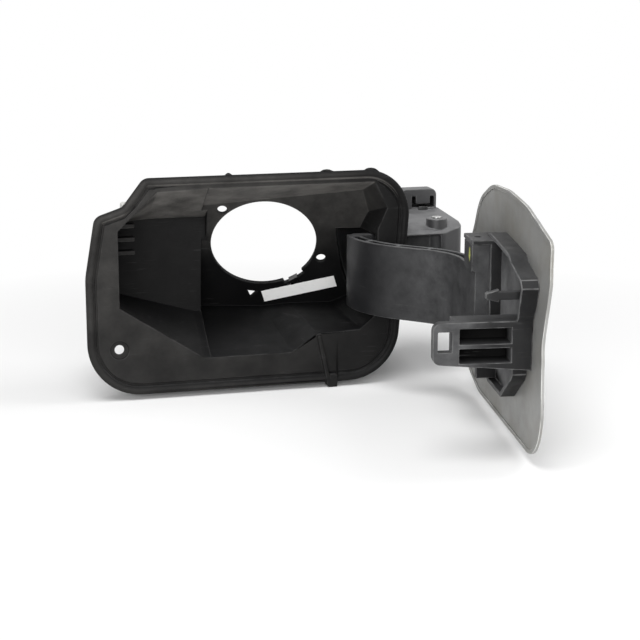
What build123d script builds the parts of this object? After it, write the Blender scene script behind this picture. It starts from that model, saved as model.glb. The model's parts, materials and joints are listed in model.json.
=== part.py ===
"""Car fuel door: a soft moulded filler bowl with a boxed gooseneck hinge and a painted door.

Millimetres. X runs to the right along the flange, Y runs into the bowl and Z is up.
The origin lies at the middle of the flange, on the plane of its back face.
The door is modelled open, as far as it swings.
"""
import os
from math import cos, degrees, radians, sin, sqrt

from build123d import *

# Flange of the bowl
FLANGE_W = 190.0
FLANGE_H = 128.2
FLANGE_T = 3.0
FLANGE_DROP = 0.9           # depth of the flange's middle below the origin
FLANGE_LEAN = 10.2          # how far the right edge leans out towards the top
CORNER_TOP = 27.0
CORNER_LOW = 32.0
NOTCH_W = 35.0              # notch in the upper left corner
NOTCH_H = 21.7
NOTCH_SLOPE_W = 12.5        # steep side of the notch
NOTCH_SLOPE_H = 16.2
NOTCH_R = 6.5
LEFT_LEAN = 6.2             # how far the left edge leans in towards the notch
LEFT_LEAN_H = 57.0
LEFT_LEAN_R = 40.0
BEAD_R = 2.4
GROOVE_W = 1.3
GROOVE_DEPTH = 0.8
GROOVE_IN = 5.2             # from the flange's outline to the groove

# Recess of the bowl, seen from the front
WALL = 2.5
MARGIN_LEFT = 19.5          # flat of the flange beside the recess
MARGIN_TOP = 7.2
MARGIN_LOW = 20.0
MARGIN_RIGHT = 15.0
LEDGE_IN = 11.0             # step in the lower right corner of the opening
LEDGE_UP = 11.5
LEDGE_END = 44.0
LEDGE_FOOT = 27.0
POCKET_X = -22.0            # where the left pocket meets the funnel
POCKET_FOOT = -26.0
POCKET_SIDE_LOW = -12.6
POCKET_SIDE_DROP = 23.0     # from the opening's top to the top of the pocket's side
POCKET_DEPTH = 47.0
POCKET_LOW, POCKET_LOW_LEFT = -28.0, -14.0
POCKET_DROP = 25.0          # from the opening's top to the back of the pocket's ceiling
POCKET_DRAFT = 4.5
FUNNEL_DEPTH = 81.0
FUNNEL_LOW, FUNNEL_TOP = -29.5, 20.5
FUNNEL_DRAFT = 6.0
LAP = 3.0                   # overlap of the pocket and the funnel

# Floor that carries the filler neck
FLOOR_X, FLOOR_Y, FLOOR_Z = 20.5, 43.0, 13.1
FLOOR_DOWN = 29.0           # degrees that the floor faces down
FLOOR_LEFT = 10.1           # degrees that the floor faces left
FLOOR_T = 2.5
NECK_R = 32.5
NECK_SCREW_R = 2.9
NECK_SCREWS = ((133.7, 1.5), (-19.4, 2.6))      # angle, and web between the two holes
NECK_NOTCH_FROM, NECK_NOTCH_TO = -67.0, -43.0
NECK_NOTCH_DEPTH = 2.6
DRAIN_ANGLE, DRAIN_OUT, DRAIN_SIDE = 260.0, 8.7, 6.0

# Small features of the bowl
CORNER_HOLE_IN, CORNER_HOLE_UP = 18.8, 27.6
CORNER_HOLE_R = 2.8
DIMPLE_R, DIMPLE_DEPTH = 5.4, 1.2
BOLT_HOLE_R = 4.0           # passage for a lock bolt
BOLT_PAD_R, BOLT_PAD_T = 8.0, 2.5
RIB_LEAN = 5.5
RIB_T, RIB_PROUD = 2.4, 2.2
RIB_FOOT_W, RIB_FOOT_H, RIB_FOOT_LOW = 6.8, 8.5, 3.0
RIB_FOOT_IN, RIB_FOOT_R = 2.6, 2.4
TOP_LUGS = ((-10.0, 5.0), (49.0, 10.0), (76.0, 10.0))      # middle and width
TOP_LUG_H = 1.0
STUD_IN, STUD_DROP, STUD_Y = 28.0, 24.2, 27.0      # from the flange's left and top edges
STUD_R, STUD_H = 2.8, 6.0
STUD_SHANK_R, STUD_SHANK = 1.5, 4.0
STUD_PAD_R, STUD_PAD_H = 4.2, 12.0
TETHER_Y, TETHER_Z = 24.0, 23.5
TETHER_REACH, TETHER_W, TETHER_T = 12.0, 6.0, 2.5
TETHER_SPAN = 16.0

# Blank label on the floor
LABEL_W, LABEL_H, LABEL_T = 47.0, 9.0, 0.3
LABEL_OUT, LABEL_ANGLE, LABEL_TURN = 11.3, -58.6, 14.8

# Earthing tab in the notch of the neck hole
TAB_FROM, TAB_TO = -62.0, -52.0
TAB_T, TAB_LEAF, TAB_TAIL = 0.8, 3.2, 0.5

# Hinge
PIVOT_OUT = 26.0            # from the flange's right side to the hinge pin
PIVOT_Y = 9.0
OPEN_ANGLE = 82.6
PIN_R = 3.0
PIN_PROUD = 0.6
PIN_TAIL = 3.0
PIN_GROOVE_R, PIN_GROOVE_UP = 2.3, 0.2
RUNNING_GAP = 0.05
SEAT_GAP = 0.03

# Gooseneck arm
ARM_R = 52.0                # centre line of the arm about the hinge pin
ARM_T = 8.0
ARM_SKIN = 2.1
ARM_TOP, ARM_LOW = 22.0, -21.5
ARM_FROM, ARM_TO = 86.6, 36.6
ARM_BEND_R = 40.0
ARM_END = 92.0
ARM_RIB = 2.4
ARM_POCKET = 17.0
WEB_T = 6.0
KNUCKLE_R = 5.6
KNUCKLE_RISE = 0.8          # height of the knuckle's ends above the arm's edges
SPRING_GAP = 12.0
SPRING_ROOM_R = 11.0
BRACKET_FROM, BRACKET_TOP = 72.0, 37.0
BRACKET_T = 10.0

# Hinge box
BOX_WALL = 2.5
BOX_SEAT = 0.5              # pad behind the flange that the box sits on
BOX_SEAT_EDGE = 1.0
BOX_PLATE = 3.9
BOX_GAP = 0.3               # between the arm's knuckle and the plates of the box
BOX_FRONT_DROP = 2.6        # slope of the top towards the front
BOX_FRONT_RUN = 14.0
BOX_LIP_DROP, BOX_LIP_RUN, BOX_LIP_T = 2.0, 3.0, 1.2
BOX_RIGHT = 15.5            # from the hinge pin to the right wall
BOX_RIGHT_SPLAY = 4.5
BOX_NOSE_IN, BOX_NOSE_DEPTH = 13.0, 5.0
BOX_BACK_GAP = 4.0          # between the arm and the inside of the back wall
BOX_LEFT = 40.0             # from the hinge pin to the mouth
BOX_CORNER_R = 7.0
BOX_FIT = 0.3               # between the hinge box and the outside of the bowl
BOX_MOUTH_FROM, BOX_MOUTH_TO = 105.0, 158.0
BOSS_R, BOSS_H = 6.4, 3.6
SLOT_GAP = 5.5              # between the arm and the end of the slot in the bowl
TOWER_OUT, TOWER_IN = 4.0, 8.5      # from the hinge pin and from the back wall to its middle
TOWER_W, TOWER_T, TOWER_H = 24.0, 10.0, 13.5
TOWER_SIDE, TOWER_FLOOR = 1.8, 1.6
TOWER_HOLE_W, TOWER_HOLE_H, TOWER_HOLE_DEPTH = 14.4, 7.0, 7.0
TONGUE_W, TONGUE_UP = 9.6, 2.2
TOWER_R = 4.0
CLIP_T, CLIP_LIP, CLIP_W, CLIP_DEPTH = 0.8, 1.2, 6.0, 5.0

# Screws of the hinge box
SCREW_TOP_IN, SCREW_TOP_UP = 1.5, 38.0
SCREW_LOW_IN, SCREW_LOW_UP = 10.5, -35.0
SCREW_R, SCREW_L = 1.5, 8.0
SCREW_HEAD_R, SCREW_HEAD_H = 3.2, 2.2
SCREW_SLOT_W, SCREW_SLOT_DEPTH = 0.9, 1.0
SCREW_BOSS_R, SCREW_BOSS_H = 5.2, 6.0
TAB_PLATE, TAB_EDGE = 2.5, 4.9

# Hinge spring
WIRE_R = 0.8
SPRING_R = 4.9
SPRING_TURNS = 6
SPRING_PITCH = 1.45
SPRING_LEG = 12.0

# Retaining ring on the hinge pin
RING_R, RING_T, RING_MOUTH = 5.6, 0.9, 3.6

# Door: s runs from its hinge edge to its free edge
EDGE_IN = 4.2               # from the flange's right side to the closed door's edge
CLOSED_GAP = 1.8            # from the flange's bead to the closed door's inner face
SKIN_T = 1.0
SKIN_SHORT = 12.5           # how much narrower the door is than the flange
SKIN_OVER_TOP, SKIN_UNDER_LOW = 2.1, 1.5
CREASE_LOW, CREASE_TOP, CREASE_OUT = 0.0, 32.0, 1.5
CREASE_R = 12.0
HEM_W, HEM_T = 2.2, 0.7
SKIN_ROOM = 60.0            # reach of the slabs that the door is cut from

# Frame on the inside of the door
FRAME_FROM, FRAME_END = 38.0, 157.0
FRAME_LOW, FRAME_TOP = -42.0, 41.5
FRAME_H = 8.2
FRAME_DISH = 4.4            # depth of the frame's floor below its rim
SEAT_H = 1.8                # seat of the arm on the frame
FRAME_T = 2.4
FRAME_PLATE = 2.2
LUG_T = 2.5
LUG_MARGIN = 2.0
LUG_REACH = 20.0
ARM_PIN_R, ARM_PIN_L, ARM_PIN_SINK = 2.2, 8.5, 1.0
ARM_PIN_S, ARM_PIN_IN = 82.0, 14.5

# Striker, cap hook and post of the frame
STRIKER_S, STRIKER_W, STRIKER_TIP_W = 150.0, 16.0, 5.0
STRIKER_REACH = 52.0
STRIKER_TOP, STRIKER_LOW, STRIKER_TIP_LOW = 8.0, -18.8, -14.0
STRIKER_R = 4.5
STRIKER_TIP = 1.6           # from the thin tip's start to its window
STRIKER_POCKETS = ((-13.6, -6.1), (-3.5, 4.4))
STRIKER_POCKET_DEPTH, STRIKER_POCKET_FOOT, STRIKER_POCKET_END = 13.2, 2.8, 4.0
WINDOW_FROM, WINDOW_TO = 42.0, 49.3
WINDOW_LOW, WINDOW_TOP = -7.4, 3.0
HOOK_S, HOOK_Z, HOOK_REACH, HOOK_H, HOOK_T = 150.0, 21.3, 25.0, 4.2, 3.5
HOOK_HEAD_H, HOOK_HEAD_L = 6.8, 7.0
POST_S, POST_Z, POST_W, POST_H, POST_REACH = 84.0, -35.0, 4.0, 9.0, 15.0

# Places worked out from the sizes above
FLANGE_LEFT = -FLANGE_W / 2
FLANGE_RIGHT = FLANGE_W / 2
FLANGE_LOW = -FLANGE_DROP - FLANGE_H / 2
FLANGE_TOP = -FLANGE_DROP + FLANGE_H / 2
RIGHT_LOW = FLANGE_RIGHT - FLANGE_LEAN / 3
RIGHT_TOP = RIGHT_LOW + FLANGE_LEAN
POCKET_LEFT = FLANGE_LEFT + MARGIN_LEFT
OPENING_TOP = FLANGE_TOP - MARGIN_TOP
OPENING_LOW = FLANGE_LOW + MARGIN_LOW
POCKET_SIDE_TOP = OPENING_TOP - POCKET_SIDE_DROP
POCKET_TOP = OPENING_TOP - POCKET_DROP
OPENING_RIGHT = FLANGE_RIGHT - MARGIN_RIGHT
LEDGE_Z = OPENING_LOW + LEDGE_UP
STUD_X = FLANGE_LEFT + STUD_IN
STUD_SEAT = FLANGE_TOP - STUD_DROP
PIVOT_X = FLANGE_RIGHT + PIVOT_OUT
EDGE_X = FLANGE_RIGHT - EDGE_IN
CLOSED_Y = -2 * BEAD_R - CLOSED_GAP
BOX_IN_TOP = ARM_TOP + KNUCKLE_RISE + BOX_GAP
BOX_IN_LOW = ARM_LOW - KNUCKLE_RISE - BOX_GAP
BOX_TOP = BOX_IN_TOP + BOX_PLATE
BOX_LOW = BOX_IN_LOW - BOX_PLATE
SLOT_R = ARM_R + ARM_T / 2 + SLOT_GAP
BOX_BACK = ARM_R + ARM_T / 2 + BOX_BACK_GAP + BOX_WALL
BOSS_TOP = BOX_TOP + BOSS_H
BOSS_LOW = BOX_LOW - BOSS_H
BOLT_Y = CLOSED_Y + (WINDOW_FROM + WINDOW_TO) / 2
BOLT_Z = (WINDOW_LOW + WINDOW_TOP) / 2
SEAT_IN = FRAME_H + SEAT_H
ARM_IN = SEAT_IN + ARM_T / 2
SKIN_W = FLANGE_W - SKIN_SHORT
SKIN_TOP = FLANGE_TOP + SKIN_OVER_TOP
SKIN_LOW = FLANGE_LOW + SKIN_UNDER_LOW
SCREW_SPOTS = (
    (FLANGE_RIGHT - SCREW_TOP_IN, SCREW_TOP_UP),
    (FLANGE_RIGHT - SCREW_LOW_IN, SCREW_LOW_UP),
)


def front(y):
    """Plane parallel to the flange at depth y: x is X, y is Z, and the normal points forward."""
    return Plane.XZ.offset(-y)


def around_pin(radius, angle):
    """A point of the plan at a radius and angle about the hinge pin."""
    return PIVOT_X + radius * cos(radians(angle)), PIVOT_Y + radius * sin(radians(angle))


# Floor plane, with its normal facing the viewer
FLOOR = Plane(
    origin=(FLOOR_X, FLOOR_Y, FLOOR_Z),
    x_dir=(cos(radians(FLOOR_LEFT)), -sin(radians(FLOOR_LEFT)), 0),
    z_dir=(
        -cos(radians(FLOOR_DOWN)) * sin(radians(FLOOR_LEFT)),
        -cos(radians(FLOOR_DOWN)) * cos(radians(FLOOR_LEFT)),
        -sin(radians(FLOOR_DOWN)),
    ),
)

# Door planes: DOOR has s along the door, Z up and inward as its normal
ALONG = Vector(-cos(radians(OPEN_ANGLE)), -sin(radians(OPEN_ANGLE)), 0)
INWARD = Vector(-sin(radians(OPEN_ANGLE)), cos(radians(OPEN_ANGLE)), 0)
PIVOT_S = EDGE_X - PIVOT_X
PIVOT_IN = PIVOT_Y - CLOSED_Y
EDGE = Vector(PIVOT_X, PIVOT_Y, 0) - ALONG * PIVOT_S - INWARD * PIVOT_IN
DOOR = Plane(origin=EDGE, x_dir=ALONG, z_dir=INWARD)


def door_plan(z):
    """Plan of the door at a height: x is s, y is inward, and the normal points down."""
    return Plane(origin=EDGE + Vector(0, 0, z), x_dir=ALONG, z_dir=(0, 0, -1))


def across(s):
    """Section of the door at s: x is Z, y is inward, and the normal points to the free edge."""
    return Plane(origin=EDGE + ALONG * s, x_dir=(0, 0, 1), z_dir=ALONG)


def rounded(corners):
    """Polygon in the open sketch, from corners given as x, y and radius."""
    Polygon(*[(x, y) for x, y, _ in corners], align=None)
    for x, y, radius in corners:
        if radius:
            fillet(vertices().sort_by_distance((x, y, 0))[0], radius)


def block(x, y, mode=Mode.ADD):
    """Rectangle in the open sketch, from its two ranges."""
    with Locations(((x[0] + x[1]) / 2, (y[0] + y[1]) / 2)):
        Rectangle(abs(x[1] - x[0]), abs(y[1] - y[0]), mode=mode)


def wedge(angles, reach):
    """Triangle from the sketch's origin that keeps only what lies between two angles."""
    tips = [(reach * cos(radians(a)), reach * sin(radians(a))) for a in angles]
    Polygon((0, 0), *tips, align=None, mode=Mode.INTERSECT)


def flange_outline():
    """Outline with a leaning right edge and a notch in the upper left corner."""
    rounded(
        (
            (FLANGE_LEFT, FLANGE_LOW, CORNER_LOW),
            (RIGHT_LOW, FLANGE_LOW, CORNER_LOW),
            (RIGHT_TOP, FLANGE_TOP, CORNER_TOP),
            (FLANGE_LEFT + NOTCH_W, FLANGE_TOP, NOTCH_R),
            (FLANGE_LEFT + NOTCH_W - NOTCH_SLOPE_W, FLANGE_TOP - NOTCH_SLOPE_H, NOTCH_R),
            (FLANGE_LEFT + LEFT_LEAN, FLANGE_TOP - NOTCH_H, NOTCH_R),
            (FLANGE_LEFT, FLANGE_TOP - LEFT_LEAN_H, LEFT_LEAN_R),
        )
    )


def funnel(wall):
    """Hollow in front of the neck floor, or its outside where wall is more than zero."""
    right, back = OPENING_RIGHT, OPENING_RIGHT - FUNNEL_DRAFT
    with BuildPart() as body:
        with BuildSketch(front(-FLANGE_T)):
            Polygon(
                (POCKET_X, OPENING_LOW),
                (LEDGE_FOOT, OPENING_LOW),
                (LEDGE_END, LEDGE_Z - 1),
                (right - LEDGE_IN, LEDGE_Z),
                (right, ARM_LOW - 2.5),
                (right, ARM_TOP + 5),
                (right + 6, OPENING_TOP - 16),
                (right - 2, OPENING_TOP),
                (POCKET_X, OPENING_TOP),
                align=None,
            )
            if wall:
                offset(amount=wall, kind=Kind.INTERSECTION)
        with BuildSketch(front(FUNNEL_DEPTH)):
            Polygon(
                (POCKET_X + FUNNEL_DRAFT, FUNNEL_LOW),
                (LEDGE_FOOT - 3, FUNNEL_LOW),
                (LEDGE_END - 4, FUNNEL_LOW + 0.5),
                (back - 8, FUNNEL_LOW + 1),
                (back + 2, FUNNEL_LOW + 4.5),
                (back, FUNNEL_TOP - 8),
                (back - 5, FUNNEL_TOP - 3),
                (back - 11, FUNNEL_TOP),
                (POCKET_X + FUNNEL_DRAFT, FUNNEL_TOP),
                align=None,
            )
            if wall:
                offset(amount=wall, kind=Kind.INTERSECTION)
        loft(ruled=True)
        split(bisect_by=FLOOR.offset(WALL - FLOOR_T - wall if wall else 0), keep=Keep.TOP)
    return body.part


def pocket(wall):
    """Hollow on the left of the recess, or its outside where wall is more than zero."""
    left, right = POCKET_LEFT, POCKET_X + LAP
    with BuildPart() as body:
        with BuildSketch(front(-FLANGE_T)):
            Polygon(
                (right, OPENING_LOW),
                (POCKET_FOOT, OPENING_LOW),
                (left, POCKET_SIDE_LOW),
                (left, POCKET_SIDE_TOP),
                (left + 12.5, OPENING_TOP - 11),
                (left + 23.5, OPENING_TOP - 1),
                (right, OPENING_TOP),
                align=None,
            )
            if wall:
                offset(amount=wall, kind=Kind.INTERSECTION)
        with BuildSketch(front(POCKET_DEPTH + wall)):
            Polygon(
                (right + FUNNEL_DRAFT / 1.5, POCKET_LOW),
                (POCKET_FOOT + 3, POCKET_LOW),
                (left + POCKET_DRAFT, POCKET_LOW_LEFT),
                (left + POCKET_DRAFT, POCKET_TOP - 5),
                (left + POCKET_DRAFT + 9, POCKET_TOP - 1),
                (left + POCKET_DRAFT + 21, POCKET_TOP),
                (right + FUNNEL_DRAFT / 1.5, POCKET_TOP),
                align=None,
            )
            if wall:
                offset(amount=wall, kind=Kind.INTERSECTION)
        loft(ruled=True)
    return body.part


def flange_inset(inset):
    """Flange outline moved inwards."""
    with BuildSketch() as shape:
        flange_outline()
        offset(amount=-inset)
    return shape.sketch


def bead_path():
    """Middle line of the rounded bead that runs round the flange."""
    with BuildSketch(front(-BEAD_R)) as ring:
        add(flange_inset(BEAD_R))
    return ring.sketch.face().outer_wire()


def slot_room():
    """Room behind the flange that the arm swings in."""
    with BuildPart() as room:
        with BuildSketch(Plane.XY.offset(BOX_IN_LOW)):
            with Locations((PIVOT_X, PIVOT_Y)):
                Circle(SLOT_R)
            block((PIVOT_X - SLOT_R, PIVOT_X + SLOT_R), (PIVOT_Y - SLOT_R, 0), mode=Mode.SUBTRACT)
        extrude(amount=BOX_IN_TOP - BOX_IN_LOW)
    return room.part


# Filler bowl
bead = bead_path()
notch_r = NECK_R + NECK_NOTCH_DEPTH
rib_top = (LEDGE_END - 0.5, LEDGE_Z - 2)
rib_low = (rib_top[0] + RIB_LEAN, FLANGE_LOW + BEAD_R)
tether_x = POCKET_LEFT + POCKET_DRAFT * (TETHER_Y + FLANGE_T) / (POCKET_DEPTH + FLANGE_T) - WALL / 2
with BuildPart() as filler_bowl:
    with BuildSketch(front(0)):
        add(flange_inset(BEAD_R))
    extrude(amount=FLANGE_T)
    with BuildSketch(Plane(origin=bead @ 0, z_dir=bead % 0)):
        Circle(BEAD_R)
    sweep(path=bead)
    with BuildSketch(front(-FLANGE_T)):
        add(flange_inset(GROOVE_IN))
        add(flange_inset(GROOVE_IN + GROOVE_W), mode=Mode.SUBTRACT)
    extrude(amount=-GROOVE_DEPTH, mode=Mode.SUBTRACT)
    # Walls, pads and bosses round the recess
    add(funnel(WALL))
    add(pocket(WALL))
    with BuildSketch(Plane.XY.offset(STUD_SEAT - STUD_PAD_H)):
        with Locations((STUD_X, STUD_Y)):
            Circle(STUD_PAD_R)
    extrude(amount=STUD_PAD_H)
    with BuildSketch(Plane.YZ.offset(POCKET_LEFT - BOLT_PAD_T)):
        with Locations((BOLT_Y, BOLT_Z)):
            Circle(BOLT_PAD_R)
    extrude(amount=BOLT_PAD_T + POCKET_DRAFT)
    with BuildSketch(front(SCREW_BOSS_H)):
        with Locations(*SCREW_SPOTS):
            Circle(SCREW_BOSS_R)
    extrude(amount=SCREW_BOSS_H + FLANGE_T / 2)
    # Rib, foot and lugs on the flange
    with BuildSketch(front(0)):
        with BuildLine():
            Line(rib_top, rib_low)
        trace(line_width=RIB_T)
    extrude(amount=FLANGE_T + RIB_PROUD)
    with BuildSketch(front(0)):
        with Locations((rib_low[0] + RIB_FOOT_IN, FLANGE_LOW - RIB_FOOT_LOW + RIB_FOOT_H / 2)):
            RectangleRounded(RIB_FOOT_W, RIB_FOOT_H, RIB_FOOT_R)
    extrude(amount=2 * BEAD_R)
    with BuildSketch(front(0)):
        for x, width in TOP_LUGS:
            with Locations((x, FLANGE_TOP - BEAD_R)):
                Ellipse(width / 2, BEAD_R + TOP_LUG_H)
    extrude(amount=BEAD_R)
    # Hollows
    add(funnel(0), mode=Mode.SUBTRACT)
    add(pocket(0), mode=Mode.SUBTRACT)
    add(slot_room(), mode=Mode.SUBTRACT)
    # Seat of the hinge box
    with BuildSketch(front(BOX_SEAT)):
        block(
            (PIVOT_X - BOX_LEFT - BOX_SEAT_EDGE, PIVOT_X),
            (BOX_LOW - BOX_SEAT_EDGE, BOX_TOP + BOX_SEAT_EDGE),
        )
        for x, z in SCREW_SPOTS:
            block((x - SCREW_BOSS_R, x + SCREW_BOSS_R), (0, z))
        add(flange_inset(BEAD_R), mode=Mode.INTERSECT)
    extrude(amount=BOX_SEAT)
    # Tether clip on the left wall
    with BuildSketch(front(TETHER_Y + TETHER_W / 2)):
        for rise in (-TETHER_SPAN / 2, 0, TETHER_SPAN / 2):
            block(
                (tether_x, tether_x + TETHER_REACH),
                (TETHER_Z + rise - TETHER_T / 2, TETHER_Z + rise + TETHER_T / 2),
            )
    extrude(amount=TETHER_W)
    # Holes of the floor
    with BuildSketch(FLOOR):
        Circle(NECK_R)
        for angle, web in NECK_SCREWS:
            with PolarLocations(NECK_R + web + NECK_SCREW_R, 1, angle):
                Circle(NECK_SCREW_R)
        with PolarLocations(NECK_R + DRAIN_OUT, 1, DRAIN_ANGLE):
            RegularPolygon(DRAIN_SIDE / sqrt(3), 3)
    extrude(amount=2 * FLOOR_T, both=True, mode=Mode.SUBTRACT)
    with BuildSketch(FLOOR):
        Circle(notch_r)
        wedge((NECK_NOTCH_FROM, NECK_NOTCH_TO), 2 * NECK_R)
    extrude(amount=2 * FLOOR_T, both=True, mode=Mode.SUBTRACT)
    # Other holes
    with BuildSketch(front(-FLANGE_T)):
        with Locations((FLANGE_LEFT + CORNER_HOLE_IN, FLANGE_LOW + CORNER_HOLE_UP)):
            Circle(DIMPLE_R)
    extrude(amount=-DIMPLE_DEPTH, mode=Mode.SUBTRACT)
    with BuildSketch(front(-FLANGE_T)):
        with Locations((FLANGE_LEFT + CORNER_HOLE_IN, FLANGE_LOW + CORNER_HOLE_UP)):
            Circle(CORNER_HOLE_R)
    extrude(amount=-2 * FLANGE_T, mode=Mode.SUBTRACT)
    with BuildSketch(Plane.YZ.offset(POCKET_LEFT - BOLT_PAD_T)):
        with Locations((BOLT_Y, BOLT_Z)):
            Circle(BOLT_HOLE_R)
    extrude(amount=BOLT_PAD_T + 2 * POCKET_DRAFT, mode=Mode.SUBTRACT)
    with BuildSketch(front(SCREW_BOSS_H)):
        with Locations(*SCREW_SPOTS):
            Circle(SCREW_R + SEAT_GAP)
    extrude(amount=SCREW_BOSS_H, mode=Mode.SUBTRACT)
    with BuildSketch(Plane.XY.offset(STUD_SEAT)):
        with Locations((STUD_X, STUD_Y)):
            Circle(STUD_SHANK_R + SEAT_GAP)
    extrude(amount=-STUD_SHANK, mode=Mode.SUBTRACT)

# Blank label on the floor
with BuildPart() as blank_label:
    with BuildSketch(FLOOR):
        with PolarLocations(NECK_R + LABEL_OUT, 1, LABEL_ANGLE, rotate=False):
            Rectangle(LABEL_W, LABEL_H, rotation=LABEL_TURN)
    extrude(amount=LABEL_T)

# Earthing tab in the notch of the neck hole
with BuildPart() as earth_tab:
    with BuildSketch(FLOOR):
        Circle(notch_r + TAB_LEAF)
        Circle(notch_r - TAB_T, mode=Mode.SUBTRACT)
        wedge((TAB_FROM, TAB_TO), 2 * NECK_R)
    extrude(amount=TAB_T)
    with BuildSketch(FLOOR.offset(-FLOOR_T - TAB_TAIL)):
        Circle(notch_r)
        Circle(notch_r - TAB_T, mode=Mode.SUBTRACT)
        wedge((TAB_FROM, TAB_TO), 2 * NECK_R)
    extrude(amount=FLOOR_T + TAB_TAIL)

# Stud on the pad behind the flange's notch
with BuildPart() as rim_stud:
    with BuildSketch(Plane.XY.offset(STUD_SEAT)):
        with Locations((STUD_X, STUD_Y)):
            Circle(STUD_R)
    extrude(amount=STUD_H)
    fillet(rim_stud.edges().sort_by(Axis.Z)[-1], STUD_R / 2)
    with BuildSketch(Plane.XY.offset(STUD_SEAT)):
        with Locations((STUD_X, STUD_Y)):
            Circle(STUD_SHANK_R)
    extrude(amount=-STUD_SHANK)


def box_outline():
    """Plan of the hinge box, open towards the bowl along the arc round the hinge pin."""
    reach = SLOT_R + BOX_WALL
    start = around_pin(reach, BOX_MOUTH_FROM)
    middle = around_pin(reach, (BOX_MOUTH_FROM + BOX_MOUTH_TO) / 2)
    end = around_pin(reach, BOX_MOUTH_TO)
    nose = (PIVOT_X + BOX_RIGHT - BOX_NOSE_IN, BOX_SEAT)
    cheek = (PIVOT_X + BOX_RIGHT, BOX_SEAT + BOX_NOSE_DEPTH)
    heel = (PIVOT_X + BOX_RIGHT + BOX_RIGHT_SPLAY, PIVOT_Y + BOX_BACK)
    with BuildLine() as plan:
        Polyline(end, (PIVOT_X - BOX_LEFT, BOX_SEAT), nose, cheek, heel, start)
        ThreePointArc(start, middle, end)
    make_face(plan.edges())
    for x, y in (nose, cheek, heel):
        fillet(vertices().sort_by_distance((x, y, 0))[0], BOX_CORNER_R)


# Hinge box
tower_top = BOX_TOP + TOWER_H
tower_x = (PIVOT_X + TOWER_OUT - TOWER_W / 2, PIVOT_X + TOWER_OUT + TOWER_W / 2)
tower_back = PIVOT_Y + BOX_BACK - TOWER_IN + TOWER_T / 2
tower_front = tower_back - TOWER_T
tower_hole_x = (tower_x[1] - TOWER_SIDE - TOWER_HOLE_W, tower_x[1] - TOWER_SIDE)
tower_hole_z = (BOX_TOP + TOWER_FLOOR, BOX_TOP + TOWER_FLOOR + TOWER_HOLE_H)
tongue_x = sum(tower_hole_x) / 2
lip_z = BOX_TOP - BOX_FRONT_DROP - BOX_LIP_DROP
with BuildPart() as hinge_box:
    with BuildSketch(Plane.XY.offset(BOX_LOW)):
        box_outline()
    extrude(amount=BOX_TOP - BOX_LOW)
    with BuildSketch(Plane.XY.offset(BOX_IN_LOW)):
        box_outline()
        offset(amount=-BOX_WALL)
        Polygon(
            (PIVOT_X, PIVOT_Y),
            around_pin(2 * ARM_R, BOX_MOUTH_TO),
            (PIVOT_X - 2 * ARM_R, PIVOT_Y),
            (PIVOT_X - 2 * ARM_R, BOX_SEAT + BOX_WALL),
            (PIVOT_X, BOX_SEAT + BOX_WALL),
            align=None,
        )
    extrude(amount=BOX_IN_TOP - BOX_IN_LOW, mode=Mode.SUBTRACT)
    with BuildSketch(Plane.YZ.offset(PIVOT_X - 2 * ARM_R)):
        Polygon(
            (BOX_SEAT, lip_z),
            (BOX_SEAT + BOX_LIP_RUN, BOX_TOP - BOX_FRONT_DROP),
            (BOX_SEAT + BOX_FRONT_RUN, BOX_TOP),
            (BOX_SEAT, BOX_TOP),
            align=None,
        )
    extrude(amount=4 * ARM_R, mode=Mode.SUBTRACT)
    # Bosses of the hinge pin
    with BuildSketch(Plane.XY.offset(BOX_IN_TOP)):
        with Locations((PIVOT_X, PIVOT_Y)):
            Circle(BOSS_R)
    extrude(amount=BOSS_TOP - BOX_IN_TOP)
    with BuildSketch(Plane.XY.offset(BOX_IN_LOW)):
        with Locations((PIVOT_X, PIVOT_Y)):
            Circle(BOSS_R)
    extrude(amount=BOSS_LOW - BOX_IN_LOW)
    with BuildSketch(Plane.XY.offset(BOSS_LOW)):
        with Locations((PIVOT_X, PIVOT_Y)):
            Circle(PIN_R + SEAT_GAP)
    extrude(amount=BOSS_TOP - BOSS_LOW, mode=Mode.SUBTRACT)
    # Tower with a blind slot round its tongue
    with BuildSketch(front(tower_back)):
        block(tower_x, (BOX_IN_TOP, tower_top))
        fillet(vertices().group_by(Axis.Y)[-1], TOWER_R)
    extrude(amount=TOWER_T)
    with BuildSketch(front(tower_front)):
        block(tower_hole_x, tower_hole_z)
        block(
            (tongue_x - TONGUE_W / 2, tongue_x + TONGUE_W / 2),
            (tower_hole_z[0] + TONGUE_UP, tower_hole_z[1]),
            mode=Mode.SUBTRACT,
        )
    extrude(amount=-TOWER_HOLE_DEPTH, mode=Mode.SUBTRACT)
    # Window in the front wall
    with BuildSketch(front(BOX_SEAT)):
        block((PIVOT_X - 2 * ARM_R, PIVOT_X), (BOX_IN_LOW + BOX_LIP_T, lip_z - BOX_LIP_T))
    extrude(amount=-BOX_WALL, mode=Mode.SUBTRACT)
    # Screw tabs
    with BuildSketch(front(SCREW_BOSS_H + TAB_PLATE)):
        for x, z in SCREW_SPOTS:
            with Locations((x, z)):
                Circle(TAB_EDGE)
            block((x - TAB_EDGE, x + TAB_EDGE), (z, BOX_IN_TOP if z > 0 else BOX_IN_LOW))
        with Locations(*SCREW_SPOTS):
            Circle(SCREW_R + SEAT_GAP, mode=Mode.SUBTRACT)
    extrude(amount=TAB_PLATE)
    # Side that fits round the outside of the bowl
    add(funnel(WALL + BOX_FIT), mode=Mode.SUBTRACT)

# Spring clip in the tower
with BuildPart() as box_clip:
    with BuildSketch(Plane.YZ.offset(tongue_x - CLIP_W / 2)):
        block(
            (tower_front - CLIP_T, tower_front + CLIP_DEPTH),
            (tower_hole_z[0], tower_hole_z[0] + CLIP_T),
        )
        block((tower_front - CLIP_T, tower_front), (tower_hole_z[0] - CLIP_LIP, tower_hole_z[0]))
    extrude(amount=CLIP_W)

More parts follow.
